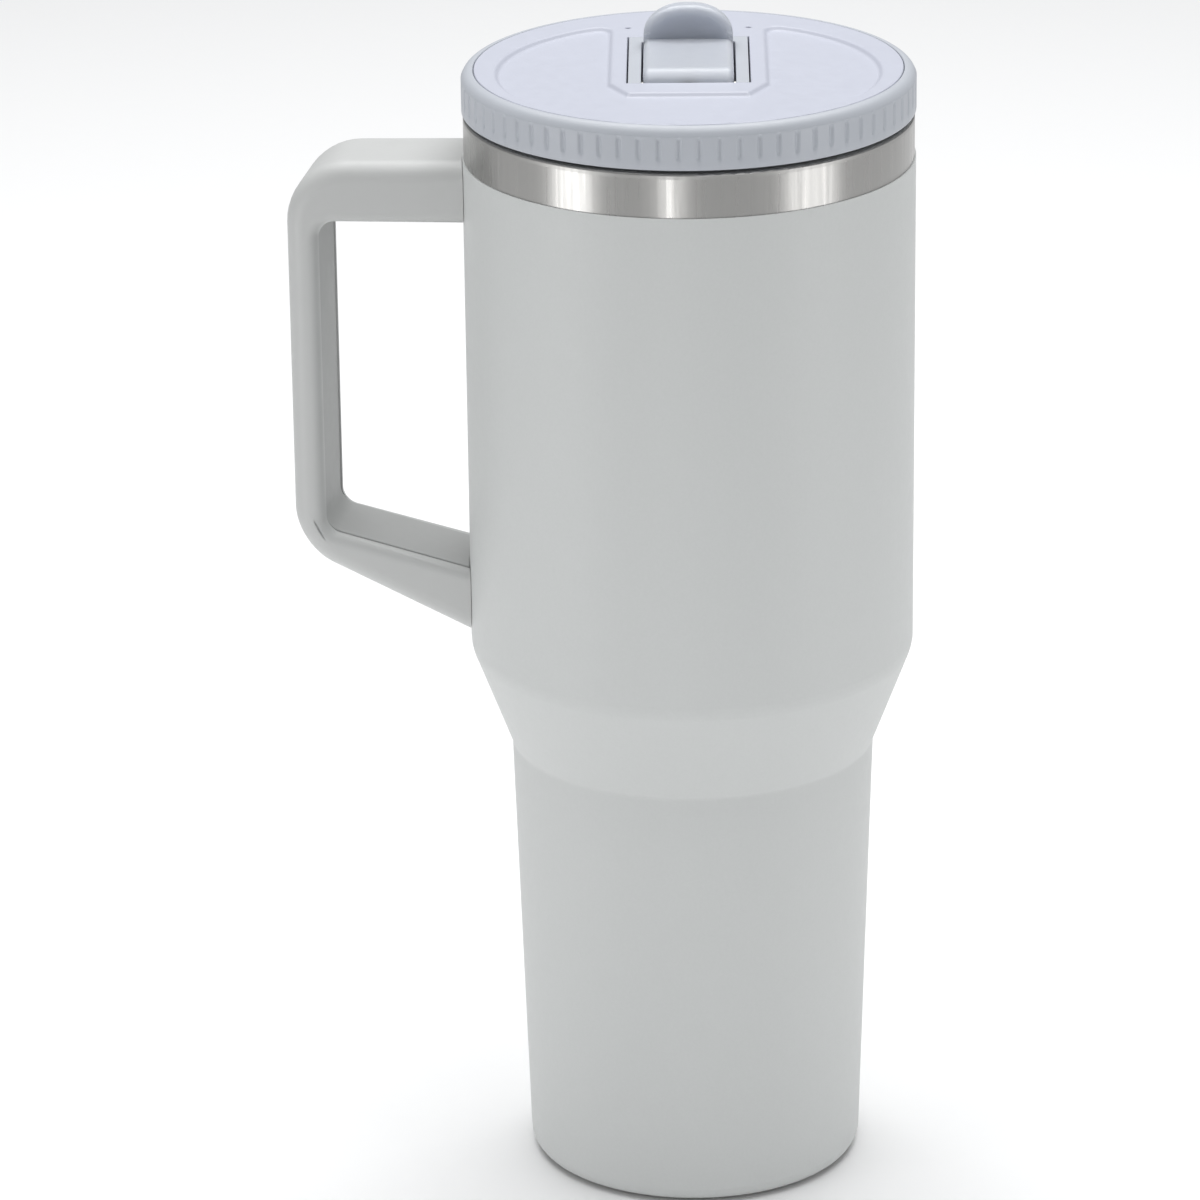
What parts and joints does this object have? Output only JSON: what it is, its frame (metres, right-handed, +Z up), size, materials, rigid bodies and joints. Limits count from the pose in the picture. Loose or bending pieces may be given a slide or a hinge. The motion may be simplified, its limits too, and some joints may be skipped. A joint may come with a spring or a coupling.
{
  "type": "insulated tumbler with lid",
  "caption": "Double-walled steel tumbler with a coated body, narrow foot, side handle and a push-in lid with a flip spout and straw.",
  "frame": {"origin": "on the tumbler's axis, in the flat face it stands on", "axes": "+Z up along the axis from the foot to the lid, -Y the way the closed lid's spout faces; the handle points to -X, turned 8 degrees towards +Y"},
  "size_m": [0.1399, 0.1, 0.2676],
  "materials": {
    "brushed_steel": "stainless steel, turned and brushed around the body",
    "satin_steel": "stainless steel, satin",
    "screw_steel": "stainless steel, plain",
    "powder_coat": "polyester powder coating, pale grey, fine satin texture",
    "handle_plastic": "moulded polypropylene, pale grey, satin",
    "lid_plastic": "moulded polypropylene, pale lilac grey, satin",
    "spout_plastic": "moulded copolyester, pale blue grey, semi gloss",
    "straw_plastic": "extruded polypropylene, translucent white",
    "silicone": "moulded silicone, mid grey, matt",
    "solder": "tin solder, dull",
    "getter_alloy": "pressed zirconium getter tablet, matt dark grey"
  },
  "bodies": {
    "tumbler": {"outer_shell": "brushed_steel", "powder_coat": "powder_coat", "inner_liner": "satin_steel", "base_cap": "satin_steel", "base_disc": "satin_steel", "vacuum_seal": "solder", "getter": "getter_alloy", "handle_frame": "handle_plastic", "handle_strip": "handle_plastic", "upper_bracket": "satin_steel", "lower_bracket": "satin_steel", "handle_screws": "screw_steel", "screw_caps": "handle_plastic"},
    "lid_seal": {"lid_gasket": "silicone"},
    "lid": {"lid_plug": "lid_plastic", "grip_ring": "lid_plastic", "top_plate": "lid_plastic", "hinge_frame": "lid_plastic", "hinge_pins": "screw_steel", "spout_seal": "silicone", "vent_valves": "silicone", "straw": "straw_plastic"},
    "spout": {"spout": "spout_plastic"}
  },
  "joints": [
    {"name": "lid_lift", "type": "slide", "parent": "tumbler", "child": "lid_seal", "axis": [0, 0, 1], "range_m": [0, 0.26]},
    {"name": "lid_turn", "type": "hinge", "parent": "lid_seal", "child": "lid", "pos_m": [0, 0, 0.2486], "axis": [0, 0, 1], "continuous": true},
    {"name": "spout_flip", "type": "hinge", "parent": "lid", "child": "spout", "pos_m": [0, -0.0087, 0.2556], "axis": [1, 0, 0], "range_deg": [0, 90]}
  ]
}
